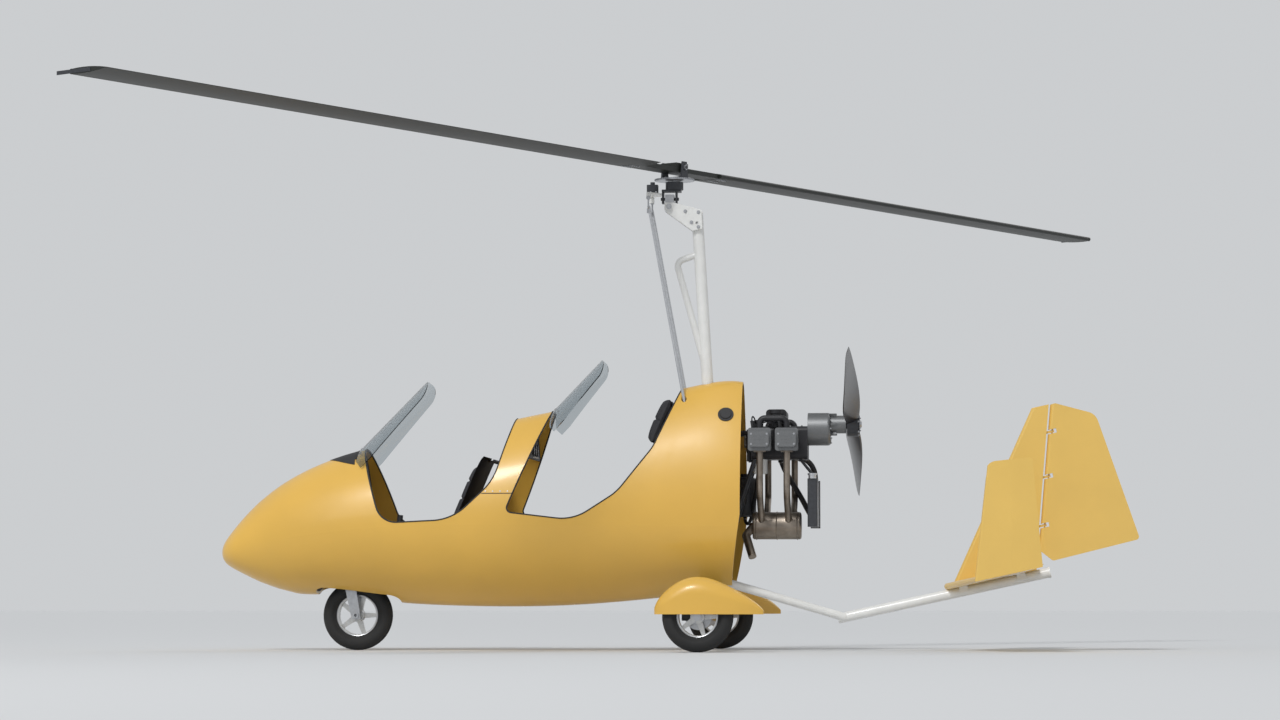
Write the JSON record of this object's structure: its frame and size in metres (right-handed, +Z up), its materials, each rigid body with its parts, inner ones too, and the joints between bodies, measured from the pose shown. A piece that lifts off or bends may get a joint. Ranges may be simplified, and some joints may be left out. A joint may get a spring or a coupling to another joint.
{
  "type": "tandem open gyrocopter",
  "caption": "Open tandem gyrocopter with a slender pod, pusher propeller, teetering two-blade rotor, tricycle gear with wheel spats and a three-fin tail.",
  "frame": {"origin": "on the ground midway between nose and rudder, under the rotor axis", "axes": "+X aft, +Y to starboard, +Z up"},
  "size_m": [4.7391, 7.4156, 2.5283],
  "materials": {
    "yellow_shell": "gloss",
    "tail_yellow": "gloss",
    "white_paint": "gloss",
    "leg_paint": "satin",
    "dark_moulding": "matte",
    "seat": "matte",
    "screen": "gloss",
    "steel": "satin",
    "dark_metal": "satin",
    "rod_alloy": "satin",
    "exhaust_steel": "satin",
    "engine_black": "satin",
    "engine_alloy": "satin",
    "blade_black": "satin",
    "prop_black": "satin",
    "rim_alloy": "satin",
    "tyre": "matte"
  },
  "bodies": {
    "airframe": {"pod_shell": "yellow_shell", "cockpit_hood": "yellow_shell", "wheel_well": "dark_moulding", "cockpit_floor": "dark_moulding", "firewall": "dark_moulding", "headrest": "seat", "instrument_panels": "dark_moulding", "cockpit_controls": "dark_metal", "front_seat": "seat", "rear_seat": "seat", "front_windscreen": "screen", "rear_windscreen": "screen", "steering_bearing": "steel", "gear_legs": "leg_paint", "leg_saddle": "dark_metal", "axle_port": "steel", "axle_starboard": "steel", "spat_port": "yellow_shell", "spat_starboard": "yellow_shell", "tail_boom": "white_paint", "keel_fork": "white_paint", "engine_mount": "dark_metal", "stabiliser": "tail_yellow", "tip_fin_port": "tail_yellow", "tip_fin_starboard": "tail_yellow", "fin": "tail_yellow", "engine_case": "engine_black", "engine_cylinders": "engine_alloy", "engine_intake": "engine_black", "engine_exhaust": "exhaust_steel", "engine_cooling": "dark_metal", "gearbox": "engine_alloy", "mast": "white_paint", "mast_brace": "white_paint", "push_rods": "rod_alloy"},
    "gimbal": {"gimbal": "steel"},
    "rotor_head": {"head_block": "dark_metal", "control_plate": "white_paint", "starter_motor": "dark_metal"},
    "rotor_mast": {"spindle": "steel", "teeter_tower": "dark_metal"},
    "rotor": {"hub_bar": "blade_black", "rotor_blades": "blade_black"},
    "propeller": {"propeller_hub": "dark_metal", "propeller_blades": "prop_black"},
    "rudder": {"rudder": "tail_yellow"},
    "nose_steering": {"nose_fork": "steel"},
    "nose_wheel": {"nose_rim": "rim_alloy", "nose_tyre": "tyre"},
    "wheel_port": {"rim_port": "rim_alloy", "tyre_port": "tyre"},
    "wheel_starboard": {"rim_starboard": "rim_alloy", "tyre_starboard": "tyre"}
  },
  "joints": [
    {"name": "head_pitch", "type": "hinge", "parent": "airframe", "child": "gimbal", "pos_m": [-0.024, 0, 2.292], "axis": [0, 1, 0], "range_deg": [-9, 9]},
    {"name": "head_roll", "type": "hinge", "parent": "gimbal", "child": "rotor_head", "pos_m": [-0.024, 0, 2.336], "axis": [1, 0, 0], "range_deg": [-8, 8]},
    {"name": "rotor_spin", "type": "hinge", "parent": "rotor_head", "child": "rotor_mast", "pos_m": [0, 0, 2.336], "axis": [0, 0, 1], "continuous": true},
    {"name": "rotor_teeter", "type": "hinge", "parent": "rotor_mast", "child": "rotor", "pos_m": [0, 0, 2.498], "axis": [-0.8536, 0.521, 0], "range_deg": [-8, 8]},
    {"name": "propeller_spin", "type": "hinge", "parent": "airframe", "child": "propeller", "pos_m": [0.92, 0, 1.16], "axis": [1, 0, 0], "continuous": true},
    {"name": "rudder_hinge", "type": "hinge", "parent": "airframe", "child": "rudder", "pos_m": [1.88773, 0, 0.52411], "axis": [0.0861, 0, 0.9963], "range_deg": [-25, 25]},
    {"name": "nose_steer", "type": "hinge", "parent": "airframe", "child": "nose_steering", "pos_m": [-1.684, 0, 0.4], "axis": [0, 0, 1], "range_deg": [-25, 25]},
    {"name": "nose_wheel_spin", "type": "hinge", "parent": "nose_steering", "child": "nose_wheel", "pos_m": [-1.65, 0, 0.18], "axis": [0, 1, 0], "continuous": true},
    {"name": "wheel_port_spin", "type": "hinge", "parent": "airframe", "child": "wheel_port", "pos_m": [0.18, -0.79, 0.175], "axis": [0, 1, 0], "continuous": true},
    {"name": "wheel_starboard_spin", "type": "hinge", "parent": "airframe", "child": "wheel_starboard", "pos_m": [0.18, 0.79, 0.175], "axis": [0, 1, 0], "continuous": true}
  ],
  "couplings": [
    {"joint": "nose_steer", "follows": "rudder_hinge", "ratio": -1}
  ]
}
